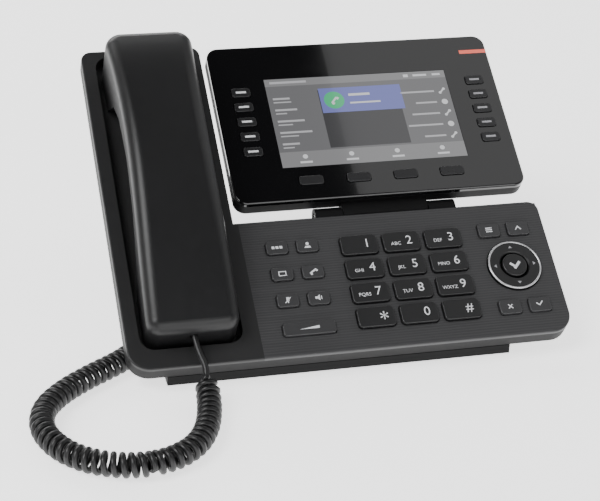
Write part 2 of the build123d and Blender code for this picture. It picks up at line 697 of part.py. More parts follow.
# ---------------------------------------------------------------- handset cord
# Points are distance across the phone, distance behind the front edge, and height above the desk.
COIL_HEIGHT = COIL_DIAMETER / 2 + 0.2
COIL_ROUTE = (
    (-85.2, -8.6, 15.5),
    (-85.6, -14.5, 10.2),
    (-86.4, -24.0, COIL_HEIGHT),
    (-90.0, -40.0, COIL_HEIGHT),
    (-97.0, -55.0, COIL_HEIGHT),
    (-109.0, -65.5, COIL_HEIGHT),
    (-125.0, -70.0, COIL_HEIGHT),
    (-142.0, -67.5, COIL_HEIGHT),
    (-157.0, -59.5, COIL_HEIGHT),
    (-168.0, -46.5, COIL_HEIGHT),
    (-173.5, -30.0, COIL_HEIGHT),
    (-170.5, -13.0, COIL_HEIGHT),
    (-158.5, 1.5, COIL_HEIGHT),
    (-142.0, 14.0, COIL_HEIGHT),
    (-125.0, 24.5, COIL_HEIGHT),
    (-112.5, 36.5, COIL_HEIGHT + 0.2),
    (-103.5, 49.0, COIL_HEIGHT + 1.3),
)
FRONT = Vector(0, FRONT_Y, 0)
HANDSET_EXIT = BASE.from_local_coords((HANDSET_X, HANDSET_BOTTOM - 0.7, CORD_HOLE_Z)) - FRONT
SOCKET_MOUTH = BASE.from_local_coords((SOCKET_X, SOCKET_Y + WALL + 4, SOCKET_Z)) - FRONT
SOCKET_LEAD = BASE.from_local_coords((SOCKET_X, SOCKET_Y - 12, SOCKET_Z)) - FRONT
COIL_FRONT_LEAD = (-85.0, -5.0, 18.6)      # in line with the coil's first run
COIL_REAR_LEAD = (-99.9, 54.0, 9.5)       # in line with its last run
HANDSET_TAIL_ROUTE = (
    tuple(HANDSET_EXIT),
    (-87.9, 3.2, 24.0),
    COIL_FRONT_LEAD,
    COIL_ROUTE[0],
)
SOCKET_TAIL_ROUTE = (
    COIL_ROUTE[-1],
    COIL_REAR_LEAD,
    (-97.6, 65.0, 21.0),
    (-97.2, 72.0, 33.0),
    tuple(SOCKET_LEAD),
    tuple(SOCKET_MOUTH),
)


def cord_tube(route, diameter, name):
    """Round tube along straight runs joined by tangent arcs."""
    points = [Vector(x, y + FRONT_Y, z) for x, y, z in route]
    radii = []
    for before, here, after in zip(points, points[1:], points[2:]):
        shorter = min((here - before).length, (after - here).length)
        half_turn = radians((here - before).get_angle(after - here)) / 2
        radii.append(0.45 * shorter / tan(half_turn))
    print(name, "radii", [round(radius, 1) for radius in radii])
    with BuildPart() as tube:
        with BuildLine() as line:
            FilletPolyline(*points, radius=radii)
        with BuildSketch(Plane(points[0], z_dir=points[1] - points[0])):
            Circle(diameter / 2)
        sweep()
    length = sum(edge.length for edge in line.edges())
    section = pi * diameter**2 / 4
    print(name, "length", round(length, 1), "volume over section", round(tube.part.volume / section, 1))
    return tube.part


with BuildPart() as cord_coil:
    add(cord_tube(COIL_ROUTE, COIL_DIAMETER, "cord_coil"))
save(cord_coil, "cord_coil")

with BuildPart() as cord_straight_ends:
    add(cord_tube(HANDSET_TAIL_ROUTE, CORD_DIAMETER, "handset end"))
    add(cord_tube(SOCKET_TAIL_ROUTE, CORD_DIAMETER, "socket end"))
save(cord_straight_ends, "cord_straight_ends")
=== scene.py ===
import json
from math import ceil, cos, pi, radians, sin

import bmesh
import bpy
from mathutils import Matrix, Vector


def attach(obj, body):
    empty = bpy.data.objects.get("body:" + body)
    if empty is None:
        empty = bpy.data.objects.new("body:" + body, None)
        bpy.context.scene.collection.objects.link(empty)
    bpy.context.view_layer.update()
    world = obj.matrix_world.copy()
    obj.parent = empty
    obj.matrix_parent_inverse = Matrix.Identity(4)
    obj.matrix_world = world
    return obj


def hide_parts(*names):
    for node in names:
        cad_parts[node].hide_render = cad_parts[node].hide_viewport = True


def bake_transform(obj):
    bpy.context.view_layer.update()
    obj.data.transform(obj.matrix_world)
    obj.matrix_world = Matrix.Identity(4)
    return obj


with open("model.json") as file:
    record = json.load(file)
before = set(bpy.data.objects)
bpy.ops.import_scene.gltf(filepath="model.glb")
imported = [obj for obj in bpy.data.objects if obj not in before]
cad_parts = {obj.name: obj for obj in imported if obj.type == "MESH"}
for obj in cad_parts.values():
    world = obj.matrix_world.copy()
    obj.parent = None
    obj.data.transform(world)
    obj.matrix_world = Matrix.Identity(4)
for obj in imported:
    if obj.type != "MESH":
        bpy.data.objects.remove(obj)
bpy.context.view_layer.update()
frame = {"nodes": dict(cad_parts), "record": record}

MM = 0.001

# ---------------------------------------------------------------- the sloping face
# The handset lifts straight out of the face, so its joint gives the way the face looks.
JOINTS = {joint["name"]: joint for joint in frame["record"]["behaviour"]["joints"]}
OUT = Vector(JOINTS["handset_lift"]["axis"]).normalized()
ACROSS = Vector((1, 0, 0))
UP_SLOPE = OUT.cross(ACROSS)
FACE = Matrix((ACROSS, UP_SLOPE, OUT)).transposed()      # face coordinates to the frame's


def face_box(node):
    """Lowest and highest corners of a CAD node, in face coordinates."""
    mesh = bpy.data.objects[node].data
    points = [FACE.transposed() @ vertex.co for vertex in mesh.vertices]
    low = Vector(min(point[axis] for point in points) for axis in range(3))
    high = Vector(max(point[axis] for point in points) for axis in range(3))
    return low, high


def face_centre(node):
    """Middle of a node's outer surface, in face coordinates."""
    low, high = face_box(node)
    return Vector(((low.x + high.x) / 2, (low.y + high.y) / 2, high.z))


# ---------------------------------------------------------------- shader helpers
def new_material(name):
    """Empty node material with its principled shader, and a function that adds and links nodes."""
    material = bpy.data.materials.new(name)
    material.use_nodes = True
    tree = material.node_tree
    shader = tree.nodes["Principled BSDF"]

    def add(kind, inputs=None, **settings):
        node = tree.nodes.new(kind)
        for key, value in settings.items():
            setattr(node, key, value)
        for key, value in (inputs or {}).items():
            if isinstance(value, bpy.types.NodeSocket):
                tree.links.new(value, node.inputs[key])
            else:
                node.inputs[key].default_value = value
        return node

    return material, shader, add, tree.links.new


def grained(name, colour, roughness, grain=0.35, grain_scale=2600.0, depth=0.00004, coat=0.0, specular=0.5):
    """Moulded plastic: fine spark-eroded grain, cloudy colour and roughness, faint scuffs."""
    material, shader, add, link = new_material(name)
    place = add("ShaderNodeTexCoord").outputs["Object"]
    fine = add("ShaderNodeTexNoise", {"Vector": place, "Scale": grain_scale, "Detail": 3.0})
    cloud = add("ShaderNodeTexNoise", {"Vector": place, "Scale": 34.0, "Detail": 4.0})
    scuff = add("ShaderNodeTexNoise", {"Vector": place, "Scale": 210.0, "Detail": 2.0, "Distortion": 1.4})
    tint = add("ShaderNodeValToRGB", {"Fac": cloud.outputs["Fac"]})
    tint.color_ramp.elements[0].position = 0.3
    tint.color_ramp.elements[0].color = (*[value * 0.92 for value in colour], 1)
    tint.color_ramp.elements[1].position = 0.72
    tint.color_ramp.elements[1].color = (*[value * 1.08 for value in colour], 1)
    link(tint.outputs["Color"], shader.inputs["Base Color"])
    gloss = add(
        "ShaderNodeMapRange",
        {"Value": scuff.outputs["Fac"], "From Min": 0.3, "From Max": 0.75,
         "To Min": roughness - 0.015, "To Max": roughness + 0.03},
    )
    link(gloss.outputs["Result"], shader.inputs["Roughness"])
    bump = add("ShaderNodeBump", {"Height": fine.outputs["Fac"], "Strength": grain, "Distance": depth})
    link(bump.outputs["Normal"], shader.inputs["Normal"])
    shader.inputs["Coat Weight"].default_value = coat
    shader.inputs["Coat Roughness"].default_value = 0.12
    shader.inputs["Specular IOR Level"].default_value = specular
    return material


def grooved(name, colour, roughness, pitch):
    """Plastic plate with fine straight grooves that run across the phone."""
    material, shader, add, link = new_material(name)
    place = add("ShaderNodeTexCoord").outputs["Object"]
    along = add("ShaderNodeVectorMath", {0: place, 1: tuple(UP_SLOPE)}, operation="DOT_PRODUCT")
    turns = add("ShaderNodeMath", {0: along.outputs["Value"], 1: 2 * pi / pitch}, operation="MULTIPLY")
    ridge = add("ShaderNodeMath", {0: turns.outputs["Value"]}, operation="SINE")
    fine = add("ShaderNodeTexNoise", {"Vector": place, "Scale": 1900.0, "Detail": 3.0})
    stretched = add("ShaderNodeMapping", {"Vector": place, "Scale": (12.0, 900.0, 900.0)})
    brushed = add("ShaderNodeTexNoise", {"Vector": stretched.outputs["Vector"], "Scale": 1.0, "Detail": 5.0})
    mixed = add(
        "ShaderNodeMath",
        {0: ridge.outputs["Value"], 1: 0.6, 2: brushed.outputs["Fac"]},
        operation="MULTIPLY_ADD",
    )
    tint = add(
        "ShaderNodeMapRange",
        {"Value": mixed.outputs["Value"], "From Min": -0.3, "From Max": 1.2, "To Min": 0.78, "To Max": 1.22},
    )
    shade = add("ShaderNodeVectorMath", {0: colour, "Scale": tint.outputs["Result"]}, operation="SCALE")
    link(shade.outputs["Vector"], shader.inputs["Base Color"])
    gloss = add(
        "ShaderNodeMapRange",
        {"Value": brushed.outputs["Fac"], "From Min": 0.3, "From Max": 0.7,
         "To Min": roughness - 0.05, "To Max": roughness + 0.08},
    )
    link(gloss.outputs["Result"], shader.inputs["Roughness"])
    grooves = add(
        "ShaderNodeBump",
        {"Height": mixed.outputs["Value"], "Strength": 0.5, "Distance": 0.00006},
    )
    bump = add(
        "ShaderNodeBump",
        {"Height": fine.outputs["Fac"], "Strength": 0.2, "Distance": 0.00003,
         "Normal": grooves.outputs["Normal"]},
    )
    link(bump.outputs["Normal"], shader.inputs["Normal"])
    return material


def polished(name, colour, roughness=0.04):
    """Polished plastic or glass cover: faint smears in its gloss."""
    material, shader, add, link = new_material(name)
    place = add("ShaderNodeTexCoord").outputs["Object"]
    smear = add("ShaderNodeTexNoise", {"Vector": place, "Scale": 26.0, "Detail": 5.0, "Distortion": 0.8})
    gloss = add(
        "ShaderNodeMapRange",
        {"Value": smear.outputs["Fac"], "From Min": 0.35, "From Max": 0.75,
         "To Min": roughness, "To Max": roughness + 0.05},
    )
    link(gloss.outputs["Result"], shader.inputs["Roughness"])
    tint = add("ShaderNodeValToRGB", {"Fac": smear.outputs["Fac"]})
    tint.color_ramp.elements[0].color = (*[value * 0.9 for value in colour], 1)
    tint.color_ramp.elements[1].color = (*[value * 1.1 for value in colour], 1)
    link(tint.outputs["Color"], shader.inputs["Base Color"])
    shader.inputs["Coat Weight"].default_value = 0.6
    shader.inputs["Coat Roughness"].default_value = 0.02
    return material


def lit(name, colour, strength, cell=0.00022):
    """Lit part of the screen under its polished cover: a faint grid of picture cells."""
    material, shader, add, link = new_material(name)
    place = add("ShaderNodeTexCoord").outputs["Object"]
    cells = add("ShaderNodeTexVoronoi", {"Vector": place, "Scale": 1 / cell, "Randomness": 0.0})
    level = add(
        "ShaderNodeMapRange",
        {"Value": cells.outputs["Distance"], "From Min": 0.0, "From Max": 0.8,
         "To Min": 1.06, "To Max": 0.94},
    )
    glow = add("ShaderNodeVectorMath", {0: colour, "Scale": level.outputs["Result"]}, operation="SCALE")
    link(glow.outputs["Vector"], shader.inputs["Emission Color"])
    shader.inputs["Emission Strength"].default_value = strength
    shader.inputs["Base Color"].default_value = (0.01, 0.01, 0.011, 1)
    shader.inputs["Roughness"].default_value = 0.08
    shader.inputs["Coat Weight"].default_value = 0.5
    return material


def glowing_print(name, colour, strength=0.0):
    """Printed legend: slightly uneven ink, which also glows at the given strength; the glow is painted
    brightness, as print gives no light.
    """
    material, shader, add, link = new_material(name)
    place = add("ShaderNodeTexCoord").outputs["Object"]
    ink = add("ShaderNodeTexNoise", {"Vector": place, "Scale": 1500.0, "Detail": 3.0})
    tint = add("ShaderNodeValToRGB", {"Fac": ink.outputs["Fac"]})
    tint.color_ramp.elements[0].color = (*[value * 0.85 for value in colour], 1)
    tint.color_ramp.elements[1].color = (*colour, 1)
    link(tint.outputs["Color"], shader.inputs["Base Color"])
    # Emission in the ink's own colour: painted brightness on the print, which is no lamp.
    link(tint.outputs["Color"], shader.inputs["Emission Color"])
    shader.inputs["Emission Strength"].default_value = strength
    shader.inputs["Roughness"].default_value = 0.5
    return material


def metal(name, colour, roughness):
    """Brushed or plated metal with fine streaks."""
    material, shader, add, link = new_material(name)
    place = add("ShaderNodeTexCoord").outputs["Object"]
    streaks = add("ShaderNodeTexNoise", {"Vector": place, "Scale": 700.0, "Detail": 4.0, "Distortion": 2.0})
    gloss = add(
        "ShaderNodeMapRange",
        {"Value": streaks.outputs["Fac"], "From Min": 0.3, "From Max": 0.7,
         "To Min": roughness - 0.05, "To Max": roughness + 0.08},
    )
    link(gloss.outputs["Result"], shader.inputs["Roughness"])
    tint = add("ShaderNodeValToRGB", {"Fac": streaks.outputs["Fac"]})
    tint.color_ramp.elements[0].color = (*[value * 0.85 for value in colour], 1)
    tint.color_ramp.elements[1].color = (*colour, 1)
    link(tint.outputs["Color"], shader.inputs["Base Color"])
    shader.inputs["Metallic"].default_value = 1.0
    return material


CASE = grained("case_plastic", (0.0105, 0.0105, 0.011), 0.48)
SHELL = grained("shell_plastic", (0.0035, 0.0035, 0.0038), 0.52, specular=0.22)
STAND = grained("stand_plastic", (0.0025, 0.0025, 0.0028), 0.55, specular=0.2)
HANDSET = grained("handset_plastic", (0.0075, 0.0075, 0.008), 0.38, grain=0.12, depth=0.00002, specular=0.42)
PLATE = grooved("keypad_plate_plastic", (0.035, 0.035, 0.0365), 0.44, 0.0016)
PLATE_KEY = grained("plate_key_plastic", (0.032, 0.032, 0.0335), 0.4, grain=0.25)
DIAL_KEY = grained("dial_key_plastic", (0.009, 0.009, 0.0095), 0.36, grain=0.25)
DISPLAY_KEY = grained("display_key_plastic", (0.010, 0.010, 0.011), 0.28, grain=0.2)
GLOSS = polished("display_cover", (0.0022, 0.0022, 0.0026))
LAMP = polished("lamp_lens", (0.62, 0.09, 0.06), 0.16)
LAMP.node_tree.nodes["Principled BSDF"].inputs["Emission Color"].default_value = (0.9, 0.16, 0.1, 1)
LAMP.node_tree.nodes["Principled BSDF"].inputs["Emission Strength"].default_value = 0.55
RUBBER = grained("foot_rubber", (0.012, 0.012, 0.012), 0.75, grain=0.5)
VINYL = grained("cord_vinyl", (0.006, 0.006, 0.0064), 0.38, grain=0.12, grain_scale=1500.0)
BOARD = grained("board_mask", (0.012, 0.10, 0.035), 0.3, grain=0.1)
STEEL = metal("plated_steel", (0.62, 0.62, 0.63), 0.3)
SILVER = metal("silver_trim", (0.86, 0.86, 0.88), 0.3)
SPEAKER = grained("speaker_paper", (0.02, 0.02, 0.021), 0.7, grain=0.6, grain_scale=900.0)
# Key legends: pale ink glowing at 0.2 and faint ink glowing at 0.05, painted brightness on the print.
LEGEND = glowing_print("legend_glowing_print", (0.68, 0.69, 0.71), 0.2)
LEGEND_FAINT = glowing_print("legend_glowing_print_faint", (0.34, 0.34, 0.36), 0.05)


def dress(nodes, material):
    """Give CAD nodes a material."""
    for node in nodes:
        slots = bpy.data.objects[node].data.materials
        slots.clear()
        slots.append(material)


NODES = sorted(frame["nodes"])
LINE_KEYS = [node for node in NODES if node.startswith("line_key")]
SOFT_KEYS = [node for node in NODES if node.startswith("soft_key")]
DIAL_KEYS = [node for node in NODES if node.startswith("dial_key")]
FUNCTION_KEYS = [node for node in NODES if "function_key" in node]
dress(["lower_shell", "display_rear_shell", "socket_block"], SHELL)
dress(["cradle_shell", "hook_switch"], CASE)
dress(["foot_stand"], STAND)
dress(["keypad_faceplate"], PLATE)
dress(FUNCTION_KEYS, PLATE_KEY)
dress(DIAL_KEYS + ["nav_ring", "ok_button"], DIAL_KEY)
dress(LINE_KEYS + SOFT_KEYS, DISPLAY_KEY)
dress(["display_front_panel"], GLOSS)
dress(["message_lamp"], LAMP)
dress(["rubber_feet"], RUBBER)
dress(["main_circuit_board"], BOARD)
dress(["case_screws", "hinge_pin"], STEEL)
dress(["loudspeaker", "handset_receiver", "handset_microphone"], SPEAKER)
dress(["handset_outer_shell", "handset_inner_shell"], HANDSET)
dress(["lcd_panel"], polished("screen_cover", (0.006, 0.006, 0.007)))


# ---------------------------------------------------------------- flat pieces on the face
def add_piece(name, mesh, body, material):
    """Put a finished mesh in the scene, riding on a body unless it is to be blended between two."""
    piece = bpy.data.objects.new(name, mesh)
    bpy.context.scene.collection.objects.link(piece)
    mesh.materials.append(material)
    if body:
        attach(piece, body)
    return piece


def plates(name, outlines, centre, body, material, thickness=0.00006):
    """Thin prisms with flat outlines, in millimetres about a centre given in face coordinates."""
    shape = bmesh.new()
    for outline in outlines:
        bottom = []
        for x, y in outline:
            spot = FACE @ (centre + Vector((x * MM, y * MM, 0)))
            bottom.append(shape.verts.new(spot))
        face = shape.faces.new(bottom)
        grown = bmesh.ops.extrude_face_region(shape, geom=[face])
        moved = [item for item in grown["geom"] if isinstance(item, bmesh.types.BMVert)]
        bmesh.ops.translate(shape, verts=moved, vec=OUT * thickness)
    bmesh.ops.recalc_face_normals(shape, faces=shape.faces)
    mesh = bpy.data.meshes.new(name)
    shape.to_mesh(mesh)
    shape.free()
    return add_piece(name, mesh, body, material)


def lettering(name, text, size, centre, body, material, thickness=0.00005, align="CENTER"):
    """Raised print of a digit or of letters, centred on a point in face coordinates."""
    curve = bpy.data.curves.new(name + "_text", "FONT")
    curve.body = text
    curve.size = size
    curve.extrude = thickness / 2
    curve.align_x = align
    curve.align_y = "CENTER"
    curve.resolution_u = 4
    holder = bpy.data.objects.new(name + "_text", curve)
    bpy.context.scene.collection.objects.link(holder)
    bpy.context.view_layer.update()
    mesh = bpy.data.meshes.new_from_object(holder.evaluated_get(bpy.context.evaluated_depsgraph_get()))
    bpy.data.objects.remove(holder)
    middle = centre + Vector((0, 0, thickness / 2))
    mesh.transform(Matrix.Translation(FACE @ middle) @ FACE.to_4x4())
    mesh.name = name
    return add_piece(name, mesh, body, material)


def bar(left, bottom, width, height):
    """Rectangle outline."""
    return [(left, bottom), (left + width, bottom), (left + width, bottom + height), (left, bottom + height)]


def disc(x, y, radius, sides=20):
    """Round outline."""
    angles = [2 * pi * i / sides for i in range(sides)]
    return [(x + radius * cos(angle), y + radius * sin(angle)) for angle in angles]


def turned(outline, angle, x=0.0, y=0.0):
    """Outline turned about its origin by an angle in degrees, then moved."""
    c, s = cos(radians(angle)), sin(radians(angle))
    return [(x + c * px - s * py, y + s * px + c * py) for px, py in outline]


# ---------------------------------------------------------------- key legends
LETTERS = {
    "2": "ABC", "3": "DEF", "4": "GHI", "5": "JKL", "6": "MNO", "7": "PQRS", "8": "TUV", "9": "WXYZ",
}
SIGNS = {"star": "*", "hash": "#"}


def dial_legends():
    """A digit at the right of each dial key, with its group of letters at the left."""
    for node in DIAL_KEYS:
        key = node.removeprefix("dial_key_")
        centre = face_centre(node)
        spot = centre + Vector((4.4 * MM, 0.2 * MM, 0))
        drop = Vector((0, -2.4 * MM, 0)) if key == "star" else Vector((0, 0, 0))
        size = (11.5 if key == "star" else 7.6) * MM
        lettering(f"digit_{key}", SIGNS.get(key, key), size, spot + drop, node, LEGEND)
        if key in LETTERS:
            spot = centre + Vector((-3.4 * MM, -1.4 * MM, 0))
            lettering(f"letters_{key}", LETTERS[key], 3.0 * MM, spot, node, LEGEND)


ARROW = [(-2.0, -1.2), (0.0, 1.4), (2.0, -1.2), (1.2, -1.2), (0.0, 0.3), (-1.2, -1.2)]
ENVELOPE = [
    bar(-2.2, -1.5, 4.4, 0.5),
    bar(-2.2, 1.0, 4.4, 0.5),
    bar(-2.2, -1.0, 0.5, 2.0),
    bar(1.7, -1.0, 0.5, 2.0),
]
PERSON = [disc(0, 1.0, 0.95), [(-1.9, -1.7), (1.9, -1.7), (1.3, -0.4), (-1.3, -0.4)]]
RECEIVER = [
    turned(bar(-2.3, -0.5, 4.6, 1.0), 35),
    turned(bar(-2.5, -1.4, 1.2, 1.0), 35),
    turned(bar(1.3, -1.4, 1.2, 1.0), 35),
]
SOUND = [
    bar(-2.0, -0.7, 1.2, 1.4),
    [(-0.7, -0.8), (0.6, -1.8), (0.6, 1.8), (-0.7, 0.8)],
    bar(1.2, -1.0, 0.5, 2.0),
]
MUTE = [bar(-0.8, -0.4, 1.6, 2.2), bar(-0.3, -1.8, 0.6, 1.2), turned(bar(-2.4, -0.25, 4.8, 0.5), 45)]
MENU = [bar(-1.9, 0.9, 3.8, 0.6), bar(-1.9, -0.3, 3.8, 0.6), bar(-1.9, -1.5, 3.8, 0.6)]
CROSS = [
    turned(bar(-1.8, -0.3, 3.6, 0.6), 45),
    turned(bar(-1.8, -0.3, 1.5, 0.6), -45),
    turned(bar(0.3, -0.3, 1.5, 0.6), -45),
]
TICK = [
    turned(bar(-2.2, -0.35, 2.2, 0.7), -40, -0.4, -0.6),
    turned(bar(0, -0.35, 3.4, 0.7), 50, -0.5, -0.9),
]
LEVEL = [[(-5.5, -0.6), (5.5, -0.6), (5.5, 1.1)]]
FUNCTION_ICONS = {
    "function_key_1_1": [bar(-3.0, -0.8, 1.6, 1.6), bar(-0.8, -0.8, 1.6, 1.6), bar(1.4, -0.8, 1.6, 1.6)],
    "function_key_1_2": PERSON,
    "function_key_2_1": ENVELOPE,
    "function_key_2_2": RECEIVER,
    "function_key_3_1": MUTE,
    "function_key_3_2": SOUND,
    "side_function_key_1_1": MENU,
    "side_function_key_1_2": [ARROW],
    "side_function_key_2_1": CROSS,
    "side_function_key_2_2": TICK,
    "wide_function_key": LEVEL,
}


def function_legends():
    """Plain signs on the small keys."""
    for node in FUNCTION_KEYS:
        plates(f"sign_{node}", FUNCTION_ICONS[node], face_centre(node), node, LEGEND)


def display_key_marks():
    """A short light window on each line key."""
    for node in LINE_KEYS:
        bright = LEGEND if "left" in node else LEGEND_FAINT
        plates(f"window_{node}", [bar(-3.0, -0.65, 6.0, 1.3)], face_centre(node), node, bright)


def ring_mesh(name, major, minor, centre, sides=72, round_sides=10):
    """Torus about the face's outward direction."""
    shape = bmesh.new()
    loops = []
    for i in range(sides):
        angle = 2 * pi * i / sides
        loop = []
        for j in range(round_sides):
            roll = 2 * pi * j / round_sides
            reach = major + minor * cos(roll)
            local = Vector((reach * cos(angle), reach * sin(angle), minor * sin(roll)))
            loop.append(shape.verts.new(FACE @ (centre + local)))
        loops.append(loop)
    for i in range(sides):
        here, there = loops[i], loops[(i + 1) % sides]
        for j in range(round_sides):
            k = (j + 1) % round_sides
            shape.faces.new((here[j], there[j], there[k], here[k])).smooth = True
    bmesh.ops.recalc_face_normals(shape, faces=shape.faces)
    mesh = bpy.data.meshes.new(name)
    shape.to_mesh(mesh)
    shape.free()
    return mesh


def navigation_trim():
    """Silver rim of the navigation ring, its four arrows, and the tick on the OK button."""
    low, high = face_box("nav_ring")
    centre = Vector(((low.x + high.x) / 2, (low.y + high.y) / 2, high.z - 0.4 * MM))
    radius = (high.y - low.y) / 2                  # its axles make it wider across
    rim = ring_mesh("nav_rim", radius - 0.6 * MM, 0.6 * MM, centre)
    add_piece("nav_rim", rim, "nav_ring", SILVER)
    top = face_centre("nav_ring")
    arrows = []
    for angle in (0, 90, 180, 270):
        spot_x = -11.4 * sin(radians(angle))
        spot_y = 11.4 * cos(radians(angle))
        arrows.append(turned([(-1.1, -0.6), (1.1, -0.6), (0.0, 0.9)], angle, spot_x, spot_y))
    plates("nav_arrows", arrows, top, "nav_ring", LEGEND_FAINT)
    tick = [
        turned(bar(-2.9, -0.75, 3.4, 1.5), -42, -0.7, -1.0),
        turned(bar(0.0, -0.75, 5.6, 1.5), 48, -0.75, -2.6),
    ]
    plates("ok_tick", tick, face_centre("ok_button"), "ok_button", LEGEND)


# ---------------------------------------------------------------- the lit screen
def screen_picture():
    """Generic phone screen: two columns of entries, a call banner in the middle and a row of commands."""
    low, high = face_box("lcd_panel")
    margin = 4.0 * MM                              # the module reaches this far past the picture
    corner = Vector((low.x + margin, low.y + margin, high.z))
    width = (high.x - low.x - 2 * margin) / MM
    height = (high.y - low.y - 2 * margin) / MM
    footer, header = 10.5, 5.2
    layer = 0.00002

    def at(level):
        return corner + Vector((0, 0, level * layer))

    grey = lit("screen_grey", (0.16, 0.16, 0.165), 1.0)
    pale = lit("screen_pale", (0.25, 0.25, 0.255), 1.0)
    dark = lit("screen_dark", (0.05, 0.05, 0.052), 1.0)
    blue = lit("screen_banner", (0.17, 0.19, 0.52), 1.0)
    green = lit("screen_green", (0.05, 0.55, 0.22), 1.0)
    white = lit("screen_white", (0.75, 0.76, 0.78), 1.0)
    text = lit("screen_text", (0.52, 0.52, 0.54), 1.0)
    plates("screen_ground", [bar(0, 0, width, height)], at(0), "display", grey, layer)
    bands = [bar(0, 0, width, footer), bar(0, height - header, width, header)]
    plates("screen_bands", bands, at(1), "display", pale, layer)
    plates("screen_centre", [bar(30.5, footer + 1.2, 48.5, 41.0)], at(1), "display", dark, layer)
    plates("screen_call_banner", [bar(31.0, 36.2, 50.0, 17.6)], at(2), "display", blue, layer)
    plates("screen_call_disc", [disc(39.3, 45.0, 6.1, 36)], at(3), "display", green, layer)
    handset_bars = [bar(-2.6, -0.6, 5.2, 1.2), bar(-3.2, -1.6, 1.8, 1.5), bar(1.4, -1.6, 1.8, 1.5)]
    mark = [turned(outline, 50, 39.3, 45.0) for outline in handset_bars]
    plates("screen_call_mark", mark, at(4), "display", white, layer)
    lines = [bar(48.5, 47.4, 13.0, 1.7), bar(48.5, 41.8, 18.5, 1.2)]
    plates("screen_call_lines", lines, at(3), "display", white, layer)
    rows = [footer + 3.0 + 8.0 * row for row in range(5)]
    entries = []
    for row, bottom in enumerate(rows):
        entries.append(bar(3.0, bottom + 1.9, 10.0 + 3.0 * ((row * 3) % 4), 1.3))
        entries.append(bar(3.0, bottom - 0.4, 6.5 + 2.0 * ((row * 2) % 3), 0.8))
        reach = 13.0 + 4.0 * ((row * 5) % 3)
        entries.append(bar(width - 9.5 - reach, bottom + 1.2, reach, 1.2))
    entries.append(bar(3.0, height - 3.4, 22.0, 1.5))
    plates("screen_entries", entries, at(2), "display", text, layer)
    signs = []
    for row, bottom in enumerate(rows):
        y = bottom + 1.8
        if row % 2:
            signs.append(disc(width - 4.6, y, 1.9))
        else:
            signs.append(turned(bar(-2.2, -0.5, 4.4, 1.0), 45, width - 4.6, y))
            signs.append(disc(width - 5.9, y - 1.3, 0.9))
            signs.append(disc(width - 3.3, y + 1.3, 0.9))
    signs.append(bar(width - 26, height - 3.7, 3.0, 2.0))
    signs.append(bar(width - 20, height - 3.4, 8.5, 1.4))
    signs.append(bar(width - 8, height - 3.4, 5, 1.4))
    for column in range(4):
        x = 14.5 + 27.4 * column
        signs.append(disc(x, 6.9, 1.5))
        signs.append(bar(x - 3.6, 2.4, 7.2, 1.3))
    plates("screen_signs", signs, at(2), "display", white, layer)


dial_legends()
function_legends()
display_key_marks()
navigation_trim()
screen_picture()

# ---------------------------------------------------------------- handset cord
# Route points in metres: across, behind, up. They repeat the design's own route.
FRONT_EDGE = -0.0932
WIRE, COIL = 0.0034, 0.0134
TURN_PITCH = 0.00455
HANDSET_TAIL = [(-0.0886, 0.0104, 0.0295), (-0.0879, 0.0032, 0.0240), (-0.0850, -0.0050, 0.0186)]
COIL_FRONT = [
    (-0.0852, -0.0086, 0.0155), (-0.0856, -0.0145, 0.0102), (-0.0864, -0.0240, 0.0069),
    (-0.0900, -0.0400, 0.0069), (-0.0970, -0.0550, 0.0069), (-0.1090, -0.0655, 0.0069),
    (-0.1250, -0.0700, 0.0069), (-0.1420, -0.0675, 0.0069), (-0.1570, -0.0595, 0.0069),
    (-0.1680, -0.0465, 0.0069), (-0.1735, -0.0300, 0.0069), (-0.1705, -0.0130, 0.0069),
    (-0.1585, 0.0015, 0.0069), (-0.1420, 0.0140, 0.0069), (-0.1250, 0.0245, 0.0069),
    (-0.1125, 0.0365, 0.0071), (-0.1035, 0.0490, 0.0082),
]
SOCKET_TAIL = [
    (-0.0999, 0.0540, 0.0095), (-0.0976, 0.0650, 0.0210), (-0.0972, 0.0720, 0.0330),
    (-0.0970, 0.0794, 0.0445), (-0.0970, 0.0934, 0.0526),
]


def smooth_line(points):
    """Points along the smooth curve that has the given route as its control points."""
    curve = bpy.data.curves.new("cord_route", "CURVE")
    curve.dimensions = "3D"
    spline = curve.splines.new("NURBS")
    spline.points.add(len(points) - 1)
    for knot, (x, y, z) in zip(spline.points, points):
        knot.co = (x, y + FRONT_EDGE, z, 1)
    spline.order_u = 3
    spline.use_endpoint_u = True
    spline.resolution_u = 24
    holder = bpy.data.objects.new("cord_route", curve)
    bpy.context.scene.collection.objects.link(holder)
    bpy.context.view_layer.update()
    mesh = bpy.data.meshes.new_from_object(holder.evaluated_get(bpy.context.evaluated_depsgraph_get()))
    line = [vertex.co.copy() for vertex in mesh.vertices]
    bpy.data.objects.remove(holder)
    bpy.data.meshes.remove(mesh)
    return line


def distances(line):
    """Distance along a line at each of its points."""
    total = [0.0]
    for a, b in zip(line, line[1:]):
        total.append(total[-1] + (b - a).length)
    return total


def at_distance(line, total, reach, start=0):
    """Point at a distance along a line, and the index of the stretch that it is on."""
    i = start
    while i < len(total) - 2 and total[i + 1] < reach:
        i += 1
    share = (reach - total[i]) / max(total[i + 1] - total[i], 1e-9)
    return line[i].lerp(line[i + 1], min(max(share, 0.0), 1.0)), i


def evenly(line, step):
    """The same line with its points an even step apart."""
    total = distances(line)
    count = max(2, ceil(total[-1] / step))
    made, i = [], 0
    for k in range(count + 1):
        spot, i = at_distance(line, total, total[-1] * k / count, i)
        made.append(spot)
    return made


def frames(line):
    """Two directions across a line at each of its points, without twist."""
    made = []
    side = None
    for i, _ in enumerate(line):
        ahead = (line[min(i + 1, len(line) - 1)] - line[max(i - 1, 0)]).normalized()
        if side is None:
            side = ahead.orthogonal().normalized()
        side = (side - ahead * side.dot(ahead)).normalized()
        made.append((side, ahead.cross(side)))
    return made


def swell(share):
    """Smooth rise from 0 to 1."""
    share = min(max(share, 0.0), 1.0)
    return share * share * (3 - 2 * share)


